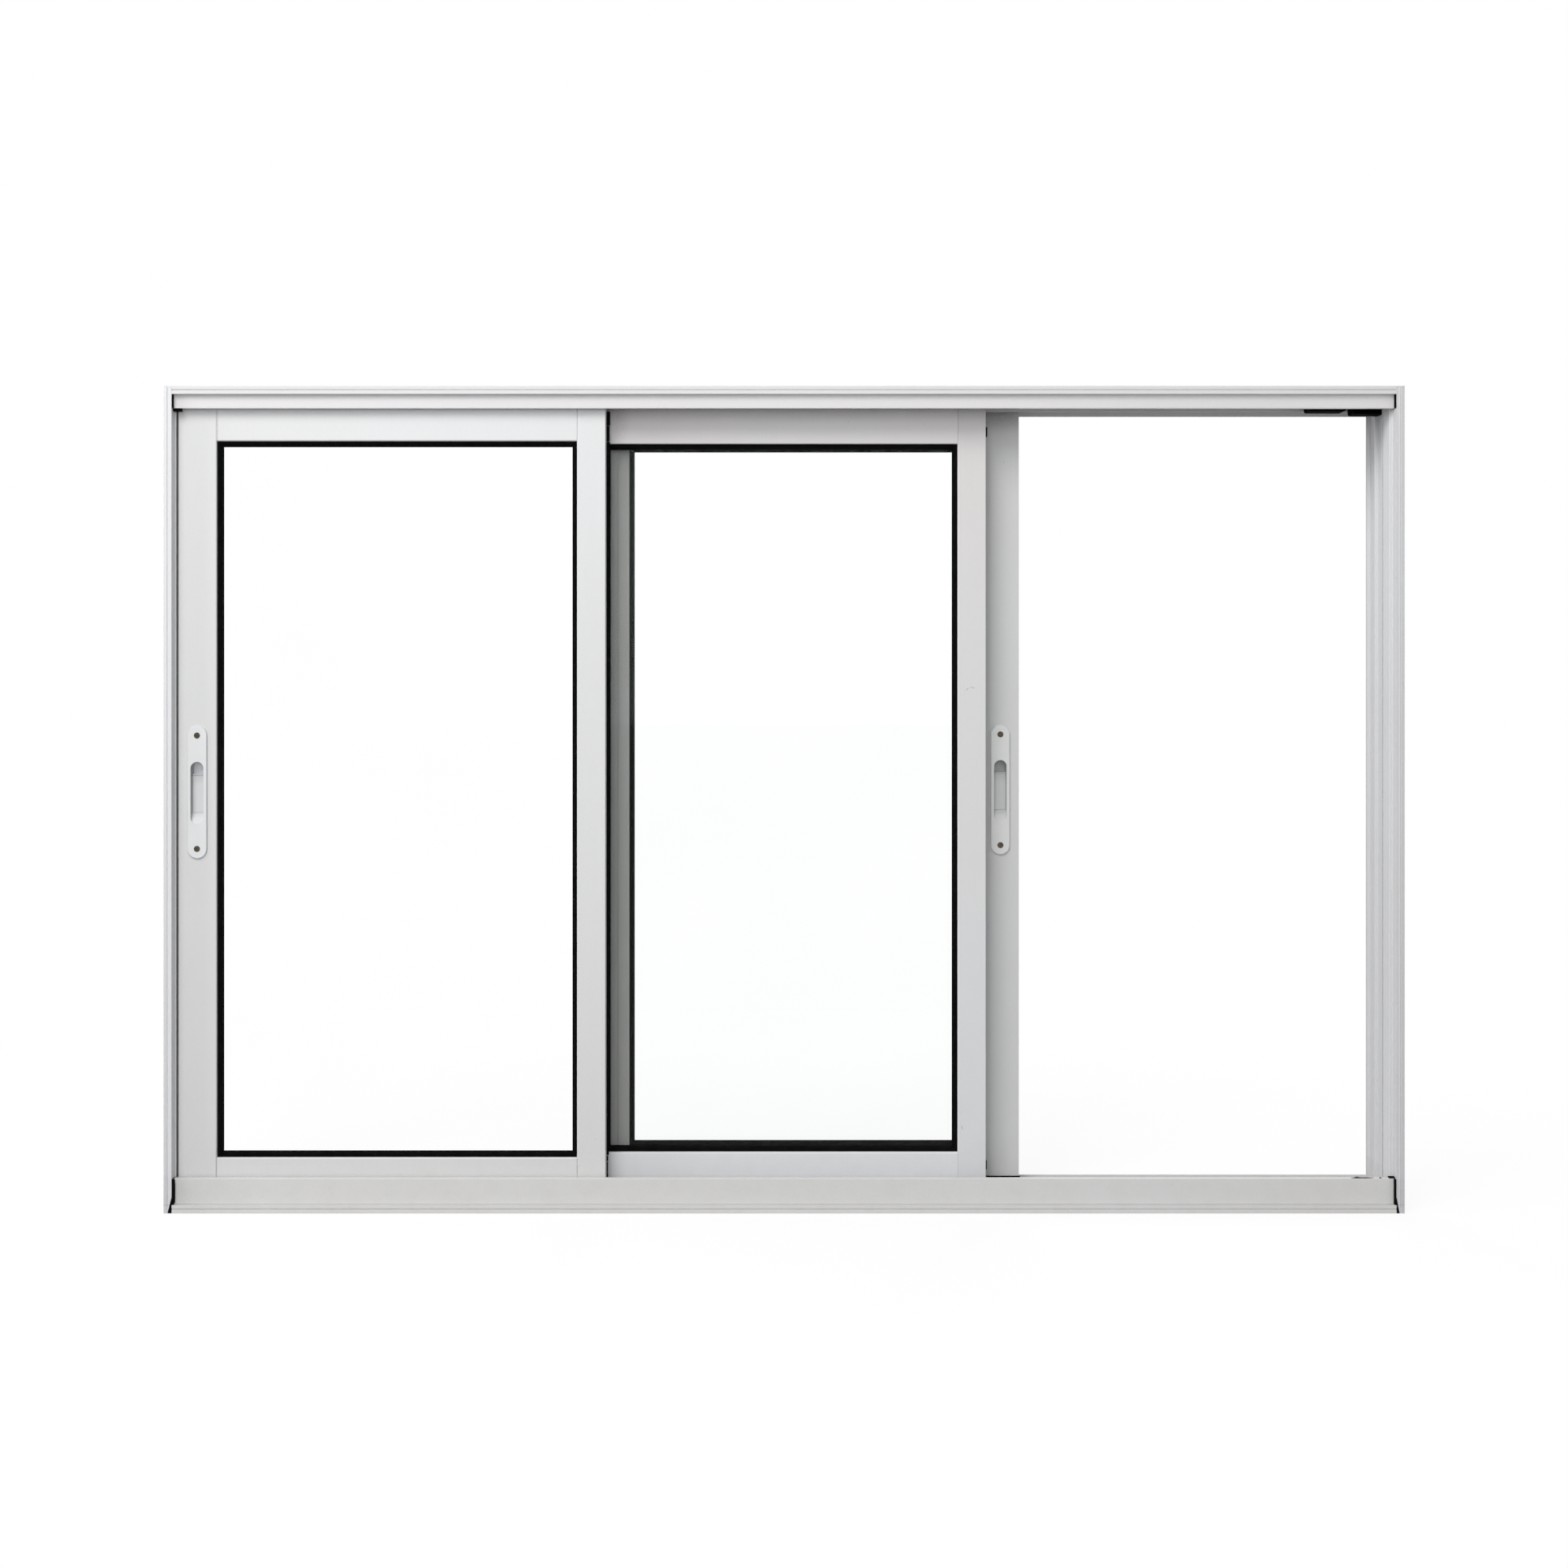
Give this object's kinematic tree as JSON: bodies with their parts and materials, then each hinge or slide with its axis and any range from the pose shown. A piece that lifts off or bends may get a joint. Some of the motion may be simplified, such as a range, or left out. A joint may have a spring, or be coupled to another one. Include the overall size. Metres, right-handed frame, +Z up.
{
  "type": "three-track sliding window",
  "caption": "Powder-coated aluminium sliding window: channelled frame with sashes on rollers, glazed panes in black gaskets and flush finger latches, the rear sash slid open.",
  "frame": {"origin": "middle of the sill's underside", "axes": "+X along the window to the right as seen from the room, +Y from the room to the outside, +Z up"},
  "size_m": [1.8, 0.122, 1.2],
  "materials": {
    "powder_coat": "light grey powder coat, satin",
    "clear_glass": "clear float glass, faint green",
    "black_rubber": "matt black glazing rubber",
    "black_plastic": "matt black moulded nylon",
    "roller_nylon": "natural nylon",
    "latch_enamel": "white enamelled die casting"
  },
  "bodies": {
    "root": {"frame_head": "powder_coat", "frame_sill": "powder_coat", "left_jamb": "powder_coat", "right_jamb": "powder_coat", "right_jamb_cover": "powder_coat", "corner_seals": "black_rubber", "head_stop_blocks": "black_plastic", "front_sash_lock_stile": "powder_coat", "front_sash_interlock_stile": "powder_coat", "front_sash_top_rail": "powder_coat", "front_sash_bottom_rail": "powder_coat", "front_sash_pane": "clear_glass", "front_sash_gasket": "black_rubber", "front_sash_roller_wheels": "roller_nylon", "front_sash_roller_carriages": "black_plastic", "front_sash_latch_plate": "latch_enamel", "front_sash_latch_slider": "latch_enamel", "middle_sash_left_stile": "powder_coat", "middle_sash_right_stile": "powder_coat", "middle_sash_top_rail": "powder_coat", "middle_sash_bottom_rail": "powder_coat", "middle_sash_pane": "clear_glass", "middle_sash_gasket": "black_rubber", "middle_sash_roller_wheels": "roller_nylon", "middle_sash_roller_carriages": "black_plastic", "rear_sash_lock_stile": "powder_coat", "rear_sash_interlock_stile": "powder_coat", "rear_sash_top_rail": "powder_coat", "rear_sash_bottom_rail": "powder_coat", "rear_sash_pane": "clear_glass", "rear_sash_gasket": "black_rubber", "rear_sash_roller_wheels": "roller_nylon", "rear_sash_roller_carriages": "black_plastic", "rear_sash_latch_plate": "latch_enamel", "rear_sash_latch_slider": "latch_enamel"}
  },
  "joints": []
}
